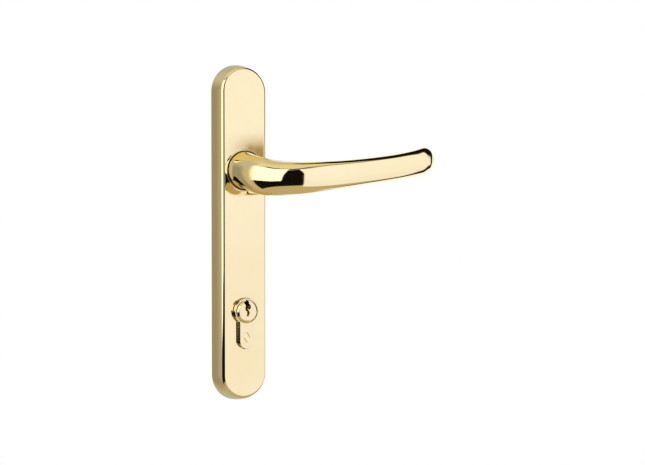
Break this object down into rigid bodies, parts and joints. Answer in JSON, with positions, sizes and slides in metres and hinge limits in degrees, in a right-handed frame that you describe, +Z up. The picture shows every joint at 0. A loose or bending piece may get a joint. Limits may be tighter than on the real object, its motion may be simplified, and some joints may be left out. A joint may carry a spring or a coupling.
{
  "type": "lever door handle with euro cylinder",
  "caption": "Long-plate sprung lever door handle in polished brass with a euro profile half cylinder: hollow plate, return spring cassette, pin tumbler plug and cam.",
  "frame": {"origin": "foot of the plate's rear rim, on the plate's centre line, in the door face; the plug axis is 58.75 mm above it and the spindle axis 150.75 mm above it", "axes": "+Z up along the plate, +Y into the door along the plug and spindle axes, +X along the lever towards its tip; the show side faces -Y"},
  "size_m": [0.1423, 0.0805, 0.222],
  "materials": {
    "polished_brass": "mirror polished and clear lacquered, fine hairline marks, slightly darker in recesses",
    "cylinder_brass": "satin polished brass, machined",
    "pin_brass": "turned brass, unlacquered",
    "pin_steel": "turned steel",
    "zinc_casting": "raw zinc alloy casting, matt",
    "zinc_plated_steel": "bright zinc plated steel",
    "spring_steel": "drawn spring wire, lightly oiled",
    "sintered_nickel": "sintered, nickel plated",
    "black_nylon": "moulded black nylon"
  },
  "bodies": {
    "housing": {"backplate": "polished_brass", "lever_bush": "black_nylon", "spring_cassette": "zinc_casting", "cassette_screw_1": "zinc_plated_steel", "cassette_screw_2": "zinc_plated_steel", "return_spring": "spring_steel", "cylinder_body": "cylinder_brass", "pin_spring_1": "spring_steel", "pin_spring_2": "spring_steel", "pin_spring_3": "spring_steel", "pin_spring_4": "spring_steel", "pin_spring_5": "spring_steel", "chamber_plug_1": "pin_brass", "chamber_plug_2": "pin_brass", "chamber_plug_3": "pin_brass", "chamber_plug_4": "pin_brass", "chamber_plug_5": "pin_brass"},
    "lever": {"lever": "polished_brass", "spring_driver": "zinc_plated_steel", "lever_clip": "spring_steel", "spindle": "zinc_plated_steel"},
    "plug": {"plug": "cylinder_brass", "plug_clip": "spring_steel"},
    "cam": {"cam": "sintered_nickel", "cam_coupling": "sintered_nickel"},
    "key_pin_1": {"key_pin_1": "pin_brass"},
    "key_pin_2": {"key_pin_2": "pin_brass"},
    "key_pin_3": {"key_pin_3": "pin_brass"},
    "key_pin_4": {"key_pin_4": "pin_brass"},
    "key_pin_5": {"key_pin_5": "pin_brass"},
    "driver_pin_1": {"driver_pin_1": "pin_steel"},
    "driver_pin_2": {"driver_pin_2": "pin_steel"},
    "driver_pin_3": {"driver_pin_3": "pin_steel"},
    "driver_pin_4": {"driver_pin_4": "pin_steel"},
    "driver_pin_5": {"driver_pin_5": "pin_steel"}
  },
  "joints": [
    {"name": "lever_turn", "type": "hinge", "parent": "housing", "child": "lever", "pos_m": [0, 0, 0.15075], "axis": [0, 1, 0], "range_deg": [-45, 45], "stiffness_Nm_per_rad": 2, "springref_deg": -3.61},
    {"name": "plug_turn", "type": "hinge", "parent": "housing", "child": "plug", "pos_m": [0, 0, 0.05875], "axis": [0, 1, 0], "continuous": true},
    {"name": "cam_turn", "type": "hinge", "parent": "housing", "child": "cam", "pos_m": [0, 0, 0.05875], "axis": [0, 1, 0], "continuous": true},
    {"name": "key_pin_1_slide", "type": "slide", "parent": "plug", "child": "key_pin_1", "axis": [0, 0, 1], "range_m": [0, 0.0039]},
    {"name": "key_pin_2_slide", "type": "slide", "parent": "plug", "child": "key_pin_2", "axis": [0, 0, 1], "range_m": [0, 0.0027]},
    {"name": "key_pin_3_slide", "type": "slide", "parent": "plug", "child": "key_pin_3", "axis": [0, 0, 1], "range_m": [0, 0.0035]},
    {"name": "key_pin_4_slide", "type": "slide", "parent": "plug", "child": "key_pin_4", "axis": [0, 0, 1], "range_m": [0, 0.0021]},
    {"name": "key_pin_5_slide", "type": "slide", "parent": "plug", "child": "key_pin_5", "axis": [0, 0, 1], "range_m": [0, 0.0031]},
    {"name": "driver_pin_1_slide", "type": "slide", "parent": "housing", "child": "driver_pin_1", "axis": [0, 0, 1], "range_m": [-0.0025, 0], "deforming": ["pin_spring_1"]},
    {"name": "driver_pin_2_slide", "type": "slide", "parent": "housing", "child": "driver_pin_2", "axis": [0, 0, 1], "range_m": [-0.0025, 0], "deforming": ["pin_spring_2"]},
    {"name": "driver_pin_3_slide", "type": "slide", "parent": "housing", "child": "driver_pin_3", "axis": [0, 0, 1], "range_m": [-0.0025, 0], "deforming": ["pin_spring_3"]},
    {"name": "driver_pin_4_slide", "type": "slide", "parent": "housing", "child": "driver_pin_4", "axis": [0, 0, 1], "range_m": [-0.0025, 0], "deforming": ["pin_spring_4"]},
    {"name": "driver_pin_5_slide", "type": "slide", "parent": "housing", "child": "driver_pin_5", "axis": [0, 0, 1], "range_m": [-0.0025, 0], "deforming": ["pin_spring_5"]}
  ],
  "couplings": [
    {"joint": "cam_turn", "follows": "plug_turn", "ratio": 1}
  ]
}
